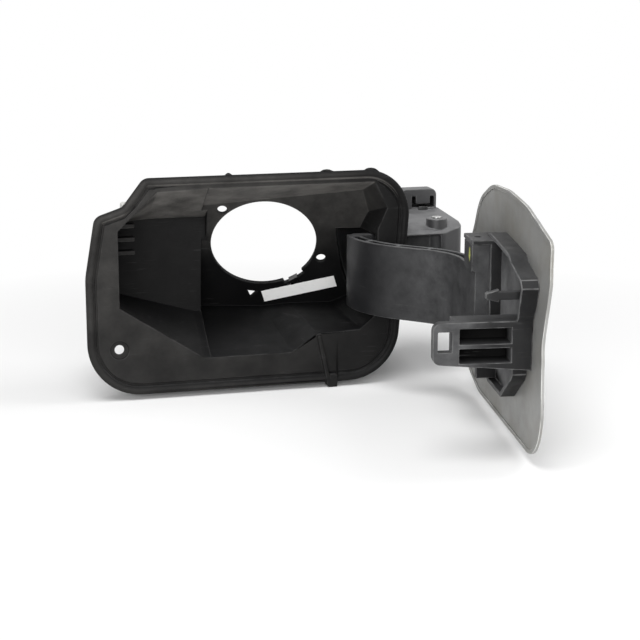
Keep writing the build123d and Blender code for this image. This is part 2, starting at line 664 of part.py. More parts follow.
# Screws of the hinge box
screw_seat = SCREW_BOSS_H + TAB_PLATE
with BuildPart() as box_screws:
    with BuildSketch(front(screw_seat)):
        with Locations(*SCREW_SPOTS):
            Circle(SCREW_R)
    extrude(amount=SCREW_L)
    with BuildSketch(front(screw_seat)):
        with Locations(*SCREW_SPOTS):
            Circle(SCREW_HEAD_R)
    extrude(amount=-SCREW_HEAD_H)
    with BuildSketch(front(screw_seat + SCREW_HEAD_H)):
        with Locations(*SCREW_SPOTS):
            Rectangle(3 * SCREW_HEAD_R, SCREW_SLOT_W)
    extrude(amount=SCREW_SLOT_DEPTH, mode=Mode.SUBTRACT)

# Hinge pin and its retaining ring
ring_top = BOSS_LOW - PIN_GROOVE_UP
with BuildPart() as hinge_pin:
    with BuildSketch(Plane.XY.offset(BOSS_LOW - PIN_TAIL)):
        with Locations((PIVOT_X, PIVOT_Y)):
            Circle(PIN_R)
    extrude(amount=BOSS_TOP + PIN_PROUD - BOSS_LOW + PIN_TAIL)
    with BuildSketch(Plane.XY.offset(ring_top)):
        with Locations((PIVOT_X, PIVOT_Y)):
            Circle(PIN_R)
            Circle(PIN_GROOVE_R, mode=Mode.SUBTRACT)
    extrude(amount=-RING_T, mode=Mode.SUBTRACT)

with BuildPart() as pin_clip:
    with BuildSketch(Plane.XY.offset(ring_top)):
        with Locations((PIVOT_X, PIVOT_Y)):
            Circle(RING_R)
            Circle(PIN_GROOVE_R + SEAT_GAP, mode=Mode.SUBTRACT)
        block(
            (PIVOT_X, PIVOT_X + 2 * RING_R),
            (PIVOT_Y - RING_MOUTH / 2, PIVOT_Y + RING_MOUTH / 2),
            mode=Mode.SUBTRACT,
        )
    extrude(amount=-RING_T)

# Hinge spring round the pin
coil_top = SPRING_PITCH * (SPRING_TURNS - 1) / 2
with BuildPart() as hinge_spring:
    for turn in range(SPRING_TURNS):
        with Locations((PIVOT_X, PIVOT_Y, turn * SPRING_PITCH - coil_top)):
            Torus(SPRING_R, WIRE_R)
    with BuildSketch(Plane(origin=(PIVOT_X + SPRING_R, PIVOT_Y - WIRE_R, coil_top), z_dir=(0, 1, 0))):
        Circle(WIRE_R)
    extrude(amount=WIRE_R + SPRING_LEG)
    with BuildSketch(Plane(origin=(PIVOT_X - WIRE_R, PIVOT_Y + SPRING_R, -coil_top), z_dir=(1, 0, 0))):
        Circle(WIRE_R)
    extrude(amount=WIRE_R + SPRING_LEG)


def arm_point(angle):
    """A point of the arm's arc in the plan of the door."""
    return PIVOT_S + ARM_R * cos(radians(angle)), PIVOT_IN + ARM_R * sin(radians(angle))


def arm_line(first_angle, last_s):
    """Middle line of the arm: an arc round the pin, a straight, a bend and a straight end."""
    turn = 90 - ARM_TO
    bend_fall = ARM_BEND_R * (1 - cos(radians(turn)))
    straight = (arm_point(ARM_TO)[1] - ARM_IN - bend_fall) / sin(radians(turn))
    with BuildLine() as middle:
        arc = CenterArc((PIVOT_S, PIVOT_IN), ARM_R, first_angle, ARM_TO - first_angle)
        slope = PolarLine(arc @ 1, straight, -turn)
        bend = JernArc(slope @ 1, slope % 1, ARM_BEND_R, turn)
        Line(bend @ 1, (last_s, ARM_IN))
    return middle.edges()


def arm_ribs():
    """Places of the cross ribs in the arm's pockets, with the direction of the arm there."""
    turn = 90 - ARM_TO
    middle = (ARM_FROM + ARM_TO) / 2
    x, y = arm_point(ARM_TO)
    fall = y - ARM_IN
    run = (fall - ARM_BEND_R * (1 - cos(radians(turn)))) / sin(radians(turn))
    x_bend = x + run * cos(radians(turn))
    y_bend = y - run * sin(radians(turn))
    x_end = x_bend + ARM_BEND_R * sin(radians(turn))
    return (
        Location((*arm_point(middle), 0), (0, 0, middle - 90)),
        Location((x, y, 0), (0, 0, -turn)),
        Location((x_bend, y_bend, 0), (0, 0, -turn)),
        Location((x_end, ARM_IN, 0), (0, 0, 0)),
    )


def arm_pockets():
    """Sketch of the pockets between the ribs of the arm."""
    with BuildSketch() as pockets:
        first_angle = ARM_FROM - degrees(WEB_T / ARM_R)
        trace(arm_line(first_angle, BRACKET_FROM - ARM_RIB), line_width=ARM_T - 2 * ARM_SKIN)
        with Locations(*arm_ribs()):
            Rectangle(ARM_RIB, ARM_T, mode=Mode.SUBTRACT)
    return pockets.sketch


# Gooseneck arm
with BuildPart() as gooseneck_arm:
    with BuildSketch(door_plan(ARM_TOP)):
        trace(arm_line(ARM_FROM, ARM_END), line_width=ARM_T)
    extrude(amount=ARM_TOP - ARM_LOW)
    with BuildSketch(door_plan(ARM_TOP)):
        add(arm_pockets())
    extrude(amount=ARM_POCKET, mode=Mode.SUBTRACT)
    with BuildSketch(door_plan(ARM_LOW)):
        add(arm_pockets())
    extrude(amount=-ARM_POCKET, mode=Mode.SUBTRACT)
    # Web and knuckle
    with BuildSketch(door_plan(ARM_TOP)):
        with BuildLine():
            Line((PIVOT_S, PIVOT_IN), arm_point(ARM_FROM))
        trace(line_width=WEB_T)
    extrude(amount=ARM_TOP - ARM_LOW)
    with BuildSketch(Plane.XY.offset(ARM_LOW - KNUCKLE_RISE)):
        with Locations((PIVOT_X, PIVOT_Y)):
            Circle(KNUCKLE_R)
    extrude(amount=ARM_TOP - ARM_LOW + 2 * KNUCKLE_RISE)
    with BuildSketch(Plane.XY.offset(-SPRING_GAP / 2)):
        with Locations((PIVOT_X, PIVOT_Y)):
            Circle(SPRING_ROOM_R)
    extrude(amount=SPRING_GAP, mode=Mode.SUBTRACT)
    with BuildSketch(Plane.XY.offset(ARM_LOW - KNUCKLE_RISE)):
        with Locations((PIVOT_X, PIVOT_Y)):
            Circle(PIN_R + RUNNING_GAP)
    extrude(amount=ARM_TOP - ARM_LOW + 2 * KNUCKLE_RISE, mode=Mode.SUBTRACT)
    # Bracket that the door frame clasps
    with BuildSketch(door_plan(BRACKET_TOP)):
        block((BRACKET_FROM, ARM_END), (SEAT_IN, SEAT_IN + BRACKET_T))
    extrude(amount=BRACKET_TOP - ARM_TOP)
    with BuildSketch(door_plan(BRACKET_TOP)):
        with Locations((ARM_PIN_S, ARM_PIN_IN)):
            Circle(ARM_PIN_R + SEAT_GAP)
    extrude(amount=ARM_PIN_L + ARM_PIN_SINK - LUG_T, mode=Mode.SUBTRACT)
    with BuildSketch(door_plan(ARM_LOW)):
        with Locations((ARM_PIN_S, ARM_PIN_IN)):
            Circle(ARM_PIN_R + SEAT_GAP)
    extrude(amount=-ARM_PIN_L - ARM_PIN_SINK + LUG_T, mode=Mode.SUBTRACT)

# Pins that hold the arm in the door frame
with BuildPart() as arm_pins:
    with BuildSketch(door_plan(BRACKET_TOP + LUG_T - ARM_PIN_SINK)):
        with Locations((ARM_PIN_S, ARM_PIN_IN)):
            Circle(ARM_PIN_R)
    extrude(amount=ARM_PIN_L)
    with BuildSketch(door_plan(ARM_LOW - LUG_T + ARM_PIN_SINK)):
        with Locations((ARM_PIN_S, ARM_PIN_IN)):
            Circle(ARM_PIN_R)
    extrude(amount=-ARM_PIN_L)


def crease(shift):
    """Section of the door's inner face moved inwards by shift, as corners with their radii."""
    return [
        (SKIN_LOW - SKIN_ROOM, shift, 0),
        (CREASE_LOW, shift, CREASE_R),
        (CREASE_TOP, shift - CREASE_OUT, CREASE_R),
        (SKIN_TOP + SKIN_ROOM, shift - CREASE_OUT, 0),
    ]


def layer(inner, outer):
    """Slab that follows the door's inner face between two depths."""
    with BuildPart() as slab:
        with BuildSketch(across(-SKIN_ROOM)):
            rounded(crease(inner) + crease(outer)[::-1])
        extrude(amount=SKIN_W + 2 * SKIN_ROOM)
    return slab.part


def skin_outline():
    """Outline of the door in its own plane."""
    rounded(
        (
            (-4, SKIN_LOW + 8, 12),
            (-9.5, SKIN_TOP - 50, 30),
            (14, SKIN_TOP - 15.5, 40),
            (46, SKIN_TOP - 2.5, 60),
            (86, SKIN_TOP, 100),
            (SKIN_W - 51.5, SKIN_TOP - 2, 100),
            (SKIN_W, SKIN_TOP - 12, 5),
            (SKIN_W, CREASE_TOP, 30),
            (SKIN_W - 6.5, CREASE_LOW, 30),
            (SKIN_W - 2.5, SKIN_LOW, 28),
            (28, SKIN_LOW, 40),
        )
    )


def skin_inset(inset):
    """Outline of the door, moved inwards."""
    with BuildSketch() as shape:
        skin_outline()
        offset(amount=-inset)
    return shape.sketch


def inside():
    """Room inside the folded edge of the door."""
    with BuildPart() as room:
        add(layer(2 * HEM_T, 0))
        with BuildSketch(DOOR.offset(-SKIN_ROOM)):
            add(skin_inset(HEM_W))
        extrude(amount=2 * SKIN_ROOM, mode=Mode.INTERSECT)
    return room.part


# Door skin
with BuildPart() as door_skin:
    add(layer(HEM_T, -SKIN_T))
    with BuildSketch(DOOR.offset(-SKIN_ROOM)):
        skin_outline()
    extrude(amount=2 * SKIN_ROOM, mode=Mode.INTERSECT)
    add(inside(), mode=Mode.SUBTRACT)


def frame_outline():
    """Outline of the frame on the inside of the door."""
    Polygon(
        (FRAME_FROM, FRAME_TOP - 11.5),
        (FRAME_FROM + 44, FRAME_TOP),
        (FRAME_END - 50, FRAME_TOP - 1.5),
        (FRAME_END - 30, FRAME_TOP - 3.2),
        (FRAME_END - 25, FRAME_TOP - 6.5),
        (FRAME_END - 3.5, FRAME_TOP - 11.5),
        (FRAME_END, FRAME_TOP - 15.5),
        (FRAME_END - 6, STRIKER_TOP + 1),
        (FRAME_END - 13.5, STRIKER_LOW + 12.8),
        (FRAME_END - 16.5, STRIKER_LOW + 3.3),
        (FRAME_END - 16, FRAME_LOW + 19),
        (FRAME_END - 19, FRAME_LOW + 15.5),
        (FRAME_END - 42, FRAME_LOW),
        (FRAME_FROM + 46, FRAME_LOW),
        (FRAME_FROM + 22, FRAME_LOW + 11),
        (FRAME_FROM, FRAME_LOW + 20),
        align=None,
    )


# Door frame
lug_s = (BRACKET_FROM - LUG_MARGIN, ARM_END + LUG_MARGIN)
plate_foot = FRAME_H - FRAME_DISH - FRAME_PLATE
with BuildPart() as door_frame:
    with BuildSketch(DOOR.offset(FRAME_H)):
        frame_outline()
    extrude(amount=-FRAME_H - 2 * CREASE_OUT)
    with BuildSketch(DOOR.offset(FRAME_H)):
        frame_outline()
        offset(amount=-FRAME_T, kind=Kind.INTERSECTION)
    extrude(amount=-FRAME_DISH, mode=Mode.SUBTRACT)
    with BuildSketch(DOOR.offset(plate_foot)):
        frame_outline()
        offset(amount=-FRAME_T, kind=Kind.INTERSECTION)
    extrude(amount=-FRAME_H - 2 * CREASE_OUT, mode=Mode.SUBTRACT)
    # Seat and lugs that clasp the arm
    with BuildSketch(DOOR.offset(SEAT_IN)):
        block(lug_s, (ARM_LOW - LUG_T, BRACKET_TOP + LUG_T))
    extrude(amount=plate_foot - SEAT_IN)
    for z in (BRACKET_TOP + LUG_T, ARM_LOW):
        with BuildSketch(door_plan(z)):
            block(lug_s, (plate_foot, LUG_REACH))
            with Locations((ARM_PIN_S, ARM_PIN_IN)):
                Circle(ARM_PIN_R + SEAT_GAP, mode=Mode.SUBTRACT)
        extrude(amount=LUG_T)
    # Striker with its bolt window
    with BuildSketch(across(STRIKER_S - STRIKER_W)):
        rounded(
            (
                (STRIKER_LOW, -2 * CREASE_OUT, 0),
                (STRIKER_TOP, -2 * CREASE_OUT, 0),
                (STRIKER_TOP, STRIKER_REACH, STRIKER_R),
                (STRIKER_TIP_LOW, STRIKER_REACH, STRIKER_R),
            )
        )
        block((WINDOW_LOW, WINDOW_TOP), (WINDOW_FROM, WINDOW_TO), mode=Mode.SUBTRACT)
    extrude(amount=STRIKER_W)
    with BuildSketch(across(STRIKER_S)):
        for low, top in STRIKER_POCKETS:
            block((low, top), (FRAME_H + STRIKER_POCKET_FOOT, WINDOW_FROM - STRIKER_POCKET_END))
    extrude(amount=-STRIKER_POCKET_DEPTH, mode=Mode.SUBTRACT)
    with BuildSketch(across(STRIKER_S - STRIKER_TIP_W)):
        block((STRIKER_LOW, STRIKER_TOP), (WINDOW_FROM - STRIKER_TIP, STRIKER_REACH))
    extrude(amount=STRIKER_TIP_W - STRIKER_W, mode=Mode.SUBTRACT)
    # Cap hook
    with BuildSketch(across(HOOK_S)):
        block((HOOK_Z - HOOK_H / 2, HOOK_Z + HOOK_H / 2), (plate_foot, HOOK_REACH - 1))
        Polygon(
            (HOOK_Z - HOOK_HEAD_H / 2, HOOK_REACH - HOOK_HEAD_L),
            (HOOK_Z + HOOK_HEAD_H / 2, HOOK_REACH - HOOK_HEAD_L),
            (HOOK_Z + HOOK_H / 3, HOOK_REACH),
            (HOOK_Z - HOOK_H / 3, HOOK_REACH),
            align=None,
        )
    extrude(amount=-HOOK_T)
    # Post
    with BuildSketch(DOOR.offset(POST_REACH)):
        block((POST_S - POST_W / 2, POST_S + POST_W / 2), (POST_Z - POST_H / 2, POST_Z + POST_H / 2))
    extrude(amount=plate_foot - POST_REACH)
    add(layer(0, -3 * SKIN_ROOM), mode=Mode.SUBTRACT)


os.makedirs("parts", exist_ok=True)

filler_bowl.part.label = "filler_bowl"
export_step(filler_bowl.part, "parts/filler_bowl.step")
blank_label.part.label = "blank_label"
export_step(blank_label.part, "parts/blank_label.step")
earth_tab.part.label = "earth_tab"
export_step(earth_tab.part, "parts/earth_tab.step")
rim_stud.part.label = "rim_stud"
export_step(rim_stud.part, "parts/rim_stud.step")
hinge_box.part.label = "hinge_box"
export_step(hinge_box.part, "parts/hinge_box.step")
box_clip.part.label = "box_clip"
export_step(box_clip.part, "parts/box_clip.step")
box_screws.part.label = "box_screws"
export_step(box_screws.part, "parts/box_screws.step")
hinge_pin.part.label = "hinge_pin"
export_step(hinge_pin.part, "parts/hinge_pin.step")
pin_clip.part.label = "pin_clip"
export_step(pin_clip.part, "parts/pin_clip.step")
hinge_spring.part.label = "hinge_spring"
export_step(hinge_spring.part, "parts/hinge_spring.step")
gooseneck_arm.part.label = "gooseneck_arm"
export_step(gooseneck_arm.part, "parts/gooseneck_arm.step")
arm_pins.part.label = "arm_pins"
export_step(arm_pins.part, "parts/arm_pins.step")
door_frame.part.label = "door_frame"
export_step(door_frame.part, "parts/door_frame.step")
door_skin.part.label = "door_skin"
export_step(door_skin.part, "parts/door_skin.step")
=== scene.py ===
"""Looks of a car fuel door: moulded bowl, boxed gooseneck hinge and painted door on a plain stage."""
import json
import math

import bmesh
import bpy
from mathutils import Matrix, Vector
from mathutils.bvhtree import BVHTree


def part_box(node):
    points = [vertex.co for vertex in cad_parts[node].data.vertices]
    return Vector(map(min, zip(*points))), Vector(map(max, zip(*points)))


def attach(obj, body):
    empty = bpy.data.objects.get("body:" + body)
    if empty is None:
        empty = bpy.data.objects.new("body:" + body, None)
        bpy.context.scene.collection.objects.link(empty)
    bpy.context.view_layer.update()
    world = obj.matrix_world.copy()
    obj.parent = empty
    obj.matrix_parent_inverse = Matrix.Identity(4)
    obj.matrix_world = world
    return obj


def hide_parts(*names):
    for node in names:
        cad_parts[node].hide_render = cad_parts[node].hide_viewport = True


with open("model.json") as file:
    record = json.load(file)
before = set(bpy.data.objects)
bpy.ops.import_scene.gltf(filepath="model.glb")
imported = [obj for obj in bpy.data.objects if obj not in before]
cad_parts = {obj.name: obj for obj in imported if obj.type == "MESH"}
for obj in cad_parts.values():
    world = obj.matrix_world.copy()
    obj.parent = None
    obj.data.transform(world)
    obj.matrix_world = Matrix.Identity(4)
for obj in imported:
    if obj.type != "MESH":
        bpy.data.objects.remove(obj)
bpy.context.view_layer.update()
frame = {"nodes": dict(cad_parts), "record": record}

bl_info = {
    "name": "Fuel door looks",
    "version": (1, 0, 0),
    "blender": (4, 5, 0),
    "location": "View3D > Sidebar > Fuel door",
    "description": "Dresses the packed fuel door with finished mouldings, paint, steel and a plain stage",
    "category": "Object",
}

MM = 0.001

# Rounding of edges
JOIN_GAP = 0.002 * MM
ROUND_ANGLE = math.radians(35)
SHARP_ANGLE = math.radians(48)
ROUND_STEPS = 3
SMALL_STEPS = 2
STRAY = 1.1                     # radii that a rounded corner may lie off the CAD surface
LABEL_EDGE = 0.05 * MM

# Outlook of a corner, and how far its rays go on each moulding, for the painted shade in deep places
OPEN_RAYS = 32
OPEN_START = 0.2 * MM
BOWL_REACH = 60 * MM
BOX_REACH = 20 * MM
ARM_REACH = 15 * MM
FRAME_REACH = 25 * MM

# Values that most of a noise lies between
NOISE_SPREAD = (0.3, 0.7)

# Part of a normal along an axis at which an effect starts and at which it is full
LEDGE_FACING = (0.25, 0.95)
CEILING_FACING = (-0.35, -0.85)
INSIDE_FACING = (-0.6, -0.9)
OUTER_FACING = (0.2, 0.6)

# Dab of marking paint on the arm's bracket
DAB_PLACE = (101.7 * MM, -105.6 * MM, 30.7 * MM)
DAB_SIZE = (2.0 * MM, 1.9 * MM, 3.6 * MM)

# Stage: name, place, aim and size of each lamp, then floor and camera
LAMPS = (
    ("Key", (-0.28, -0.48, 1.25), (0.04, -0.03, 0.0), 0.9),
    ("Fill", (-0.35, -1.40, 0.10), (0.05, -0.05, 0.0), 1.4),
    ("Rim", (0.85, -0.1, 0.75), (0.08, -0.05, 0.0), 0.6),
)
FLOOR_RADIUS = 6.0
FLOOR_SIDES = 64
FADE_MIDDLE = (0.04, -0.02)
FADE_FROM, FADE_TO = 0.16, 0.42
CAMERA_PLACE = (-0.20337, -0.95977, 0.20791)
CAMERA_DOWN = math.radians(13.3294)
CAMERA_RIGHT = math.radians(14.5205)
SENSOR = 36.0


# Sizes and colours

def length(name, description, default):
    """Length in metres for a property group."""
    return bpy.props.FloatProperty(
        name=name, description=description, default=default, min=0.0, unit="LENGTH", precision=5
    )


def colour(name, description, default):
    """Colour for a property group."""
    return bpy.props.FloatVectorProperty(
        name=name, description=description, default=default, subtype="COLOR", size=3, min=0.0, max=1.0
    )


def share(name, description, default):
    """Number from zero to one for a property group."""
    return bpy.props.FloatProperty(
        name=name, description=description, default=default, min=0.0, max=1.0, subtype="FACTOR"
    )


def power(name, description, default):
    """Strength of a lamp in watts for a property group."""
    return bpy.props.FloatProperty(
        name=name, description=description, default=default, min=0.0, unit="POWER"
    )


class FuelDoorEdges(bpy.types.PropertyGroup):
    """Radii of the rounded edges."""

    bowl: length("Bowl", "Radius along the edges of the filler bowl", 0.6 * MM)
    box: length("Hinge box", "Radius along the edges of the hinge box", 0.7 * MM)
    arm: length("Arm", "Radius along the edges of the gooseneck arm", 0.5 * MM)
    frame: length("Frame", "Radius along the edges of the door frame", 0.5 * MM)
    skin: length("Door", "Radius along the edges of the door skin", 0.25 * MM)
    small: length("Fittings", "Radius along the edges of the small fittings", 0.15 * MM)


class FuelDoorColours(bpy.types.PropertyGroup):
    """Colours of the finishes."""

    bowl: colour("Bowl", "Soft black of the filler bowl", (0.003, 0.003, 0.0032))
    box: colour("Hinge box", "Dark grey of the hinge box", (0.022, 0.022, 0.023))
    arm: colour("Arm", "Black of the gooseneck arm", (0.004, 0.004, 0.0046))
    frame: colour("Frame", "Dark grey of the door frame", (0.006, 0.006, 0.0063))
    # Dust and painted light on the bowl, paler under the ceiling and to the left
    dust: colour("Dust", "Dust and painted light on the bowl", (0.15, 0.144, 0.136))
    # Grey laid on the hinge and the frame, partly dust and partly painted light
    film: colour("Film", "Grey on the hinge and the frame, partly dust and partly painted light", (0.17, 0.171, 0.174))
    deep: colour("Painted shade in deep places", "Dark of the places that no light reaches", (0.002, 0.002, 0.002))
    # Paler plastic along edges, partly wear and partly a painted highlight
    wear_and_highlight: colour("Rubbed edge", "Paler plastic along worn edges, partly a painted highlight", (0.13, 0.13, 0.13))
    paint: colour("Paint", "Silver grey of the door", (0.28, 0.28, 0.272))
    # Painted highlight along the folded edge of the door, partly a brighter bare edge
    hem_highlight: colour("Hem highlight", "Bright line along the folded edge of the door", (0.78, 0.78, 0.76))
    grime: colour("Grime", "Warm grime on the inside of the door", (0.17, 0.16, 0.136))
    steel: colour("Steel", "Hinge pin, ring, screws and spring", (0.56, 0.56, 0.55))
    dull: colour("Dull steel", "Earthing tab, clip of the tower and pins of the arm", (0.10, 0.10, 0.10))
    label: colour("Label", "Blank film", (0.93, 0.93, 0.92))
    stud: colour("Stud", "Light stud behind the rim", (0.50, 0.50, 0.48))
    mark: colour("Mark", "Dab of marking paint", (0.42, 0.44, 0.10))


class FuelDoorSpring(bpy.types.PropertyGroup):
    """Wound spring round the hinge pin."""

    wire: length("Wire", "Radius of the wire", 0.8 * MM)
    coil: length("Coil", "Radius of the coil's middle line", 4.9 * MM)
    leg: length("Leg", "Straight length of each leg", 12.0 * MM)
    turns: bpy.props.FloatProperty(name="Turns", description="Turns of the coil", default=5.75, min=1.0)


class FuelDoorStage(bpy.types.PropertyGroup):
    """Floor, lamps and camera."""

    floor: colour("Floor", "Pale floor", (0.82, 0.82, 0.82))
    key: power("Key", "Strength of the large lamp", 16.0)
    fill: power("Fill", "Strength of the front lamp", 30.0)
    rim: power("Rim", "Strength of the side lamp", 4.0)
    sky: share("Sky", "Strength of the even light all round", 0.25)
    lens: bpy.props.FloatProperty(
        name="Lens", description="Focal length on a 36 mm sensor", default=95.34, unit="CAMERA"
    )


class FuelDoorSettings(bpy.types.PropertyGroup):
    """All sizes and colours of the scene."""

    edges: bpy.props.PointerProperty(type=FuelDoorEdges)
    colours: bpy.props.PointerProperty(type=FuelDoorColours)
    spring: bpy.props.PointerProperty(type=FuelDoorSpring)
    stage: bpy.props.PointerProperty(type=FuelDoorStage)


# Meshes

def new_piece(name, mesh):
    """Object of a new piece, at the origin."""
    piece = bpy.data.objects.new(name, mesh)
    bpy.context.scene.collection.objects.link(piece)
    return piece


def settle(piece):
    """Turn a piece and its modifiers into a plain mesh."""
    bpy.context.view_layer.update()
    seen = piece.evaluated_get(bpy.context.evaluated_depsgraph_get())
    mesh = bpy.data.meshes.new_from_object(seen)
    old = piece.data
    piece.modifiers.clear()
    piece.data = mesh
    bpy.data.meshes.remove(old)


def merged(node):
    """Copy of a CAD node's mesh with its loose triangles joined."""
    mesh = bpy.data.meshes.new(node)
    work = bmesh.new()
    work.from_mesh(frame["nodes"][node].data)
    bmesh.ops.remove_doubles(work, verts=work.verts, dist=JOIN_GAP)
    work.to_mesh(mesh)
    work.free()
    return mesh


def pull_back(mesh, node, reach):
    """Put corners that the rounding threw off the CAD surface back onto it."""
    work = bmesh.new()
    work.from_mesh(frame["nodes"][node].data)
    surface = BVHTree.FromBMesh(work)
    work.free()
    for point in mesh.vertices:
        near, _, _, away = surface.find_nearest(point.co)
        if away > reach:
            point.co = near


def mark_edges(mesh):
    """Mark the faces that round an outer edge, for wear and a painted highlight, and take them back to
    the first material.
    """
    work = bmesh.new()
    work.from_mesh(mesh)
    edge = work.faces.layers.float.new("edge")
    for face in work.faces:
        if face.material_index:
            bends = sum(side.calc_face_angle_signed(0.0) for side in face.edges)
            face[edge] = 1.0 if bends > 0.0 else 0.0
            face.material_index = 0
        face.smooth = True
    work.to_mesh(mesh)
    work.free()
    mesh.set_sharp_from_angle(angle=SHARP_ANGLE)


def sphere_rays(count):
    """Directions spread evenly over a sphere."""
    golden = math.pi * (3.0 - math.sqrt(5.0))
    for step in range(count):
        height = 1.0 - 2.0 * (step + 0.5) / count
        ring = math.sqrt(1.0 - height * height)
        yield Vector((ring * math.cos(golden * step), ring * math.sin(golden * step), height))


def mark_open(mesh, reach):
    """Mark how much of its outlook each corner has free within a reach, for painted shade in deep places.
    """
    work = bmesh.new()
    work.from_mesh(mesh)
    walls = BVHTree.FromBMesh(work)
    outlook = work.verts.layers.float.new("open")
    rays = list(sphere_rays(OPEN_RAYS))
    for corner in work.verts:
        start = corner.co + corner.normal * OPEN_START
        free = 0
        for ray in rays:
            way = ray if ray.dot(corner.normal) > 0.0 else -ray
            free += walls.ray_cast(start, way, reach)[0] is None
        corner[outlook] = free / OPEN_RAYS
    work.to_mesh(mesh)
    work.free()


def moulding(node, radius, material, segments=SMALL_STEPS, reach=0.0):
    """Copy of a CAD node with rounded edges, which replaces the node and rides on its body."""
    piece = new_piece(node + "_finished", merged(node))
    piece.data.materials.clear()
    for _ in ("flats", "rounded edges"):
        piece.data.materials.append(material)
    rounding = piece.modifiers.new("Rounded edges", "BEVEL")
    rounding.width = radius
    rounding.segments = segments
    rounding.limit_method = "ANGLE"
    rounding.angle_limit = ROUND_ANGLE
    rounding.use_clamp_overlap = False
    rounding.loop_slide = False
    rounding.material = 1
    settle(piece)
    pull_back(piece.data, node, STRAY * radius)
    mark_edges(piece.data)
    if reach:
        mark_open(piece.data, reach)
    piece.data.materials.pop()
    normals = piece.modifiers.new("Weighted normals", "WEIGHTED_NORMAL")
    normals.keep_sharp = True
    settle(piece)
    return placed(piece, node)


def placed(piece, node):
    """Let a piece stand for a CAD node, with the node's body."""
    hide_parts(node)
    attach(piece, body_of(node))
    return piece


def body_of(node):
    """Body that a CAD node belongs to."""
    for body, members in frame["record"]["behaviour"]["bodies"].items():
        if node in members:
            return body
    raise ValueError(node + " is in no body")


# Shader groups

def shader_group(name, inputs, output):
    """Empty shader group with named number inputs and one number output."""
    group = bpy.data.node_groups.new(name, "ShaderNodeTree")
    for label, value in inputs:
        socket = group.interface.new_socket(label, in_out="INPUT", socket_type="NodeSocketFloat")
        socket.default_value = value
    group.interface.new_socket(output, in_out="OUTPUT", socket_type="NodeSocketFloat")
    return group, group.nodes.new("NodeGroupInput"), group.nodes.new("NodeGroupOutput")


def maths(tree, operation, first, second, clamp=False):
    """Math node on two sockets or numbers, and its result."""
    node = tree.nodes.new("ShaderNodeMath")
    node.operation = operation
    node.use_clamp = clamp
    for socket, value in zip(node.inputs, (first, second)):
        if isinstance(value, bpy.types.NodeSocket):
            tree.links.new(value, socket)
        else:
            socket.default_value = value
    return node.outputs[0]


def ranged(tree, value, low, high, to_low=0.0, to_high=1.0):
    """Map Range node from low and high, sockets or numbers, and its result."""
    node = tree.nodes.new("ShaderNodeMapRange")
    tree.links.new(value, node.inputs["Value"])
    for label, amount in (("From Min", low), ("From Max", high), ("To Min", to_low), ("To Max", to_high)):
        if isinstance(amount, bpy.types.NodeSocket):
            tree.links.new(amount, node.inputs[label])
        else:
            node.inputs[label].default_value = amount
    return node.outputs["Result"]


def noise(tree, scale, detail=3.0, vector=None, roughness=0.55):
    """Noise on Object coordinates, or on another vector, and its value."""
    node = tree.nodes.new("ShaderNodeTexNoise")
    node.inputs["Detail"].default_value = detail
    node.inputs["Roughness"].default_value = roughness
    if vector is None:
        vector = tree.nodes.new("ShaderNodeTexCoord").outputs["Object"]
    tree.links.new(vector, node.inputs["Vector"])
    if isinstance(scale, bpy.types.NodeSocket):
        tree.links.new(scale, node.inputs["Scale"])
    else:
        node.inputs["Scale"].default_value = scale
    return node.outputs["Fac"]


def mottled(tree, scale, detail, low=0.0, high=1.0):
    """Noise with its usual spread stretched from low to high."""
    return ranged(tree, noise(tree, scale, detail), *NOISE_SPREAD, low, high)


def times(tree, first, second):
    """Product of two sockets or numbers."""
    return maths(tree, "MULTIPLY", first, second)


def less(tree, value):
    """One less a value."""
    return maths(tree, "SUBTRACT", 1.0, value)


def greatest(tree, *values):
    """Greatest of some sockets."""
    top = values[0]
    for value in values[1:]:
        top = maths(tree, "MAXIMUM", top, value)
    return top


def put_mask(tree, mask, given, result):
    """Mask of a group, times the group's amount, as its output."""
    amount = maths(tree, "MULTIPLY", mask, given.outputs["Amount"], clamp=True)
    tree.links.new(amount, result.inputs["Mask"])


def grain_group():
    """Fine texture of moulded plastic, as a height."""
    tree, given, result = shader_group("Moulded grain", (("Scale", 1500.0), ("Swell", 0.5)), "Height")
    fine = noise(tree, given.outputs["Scale"], 2.0)
    broad = noise(tree, times(tree, given.outputs["Scale"], 0.06), 2.0)
    swell = times(tree, broad, given.outputs["Swell"])
    tree.links.new(maths(tree, "ADD", fine, swell), result.inputs["Height"])
    return tree


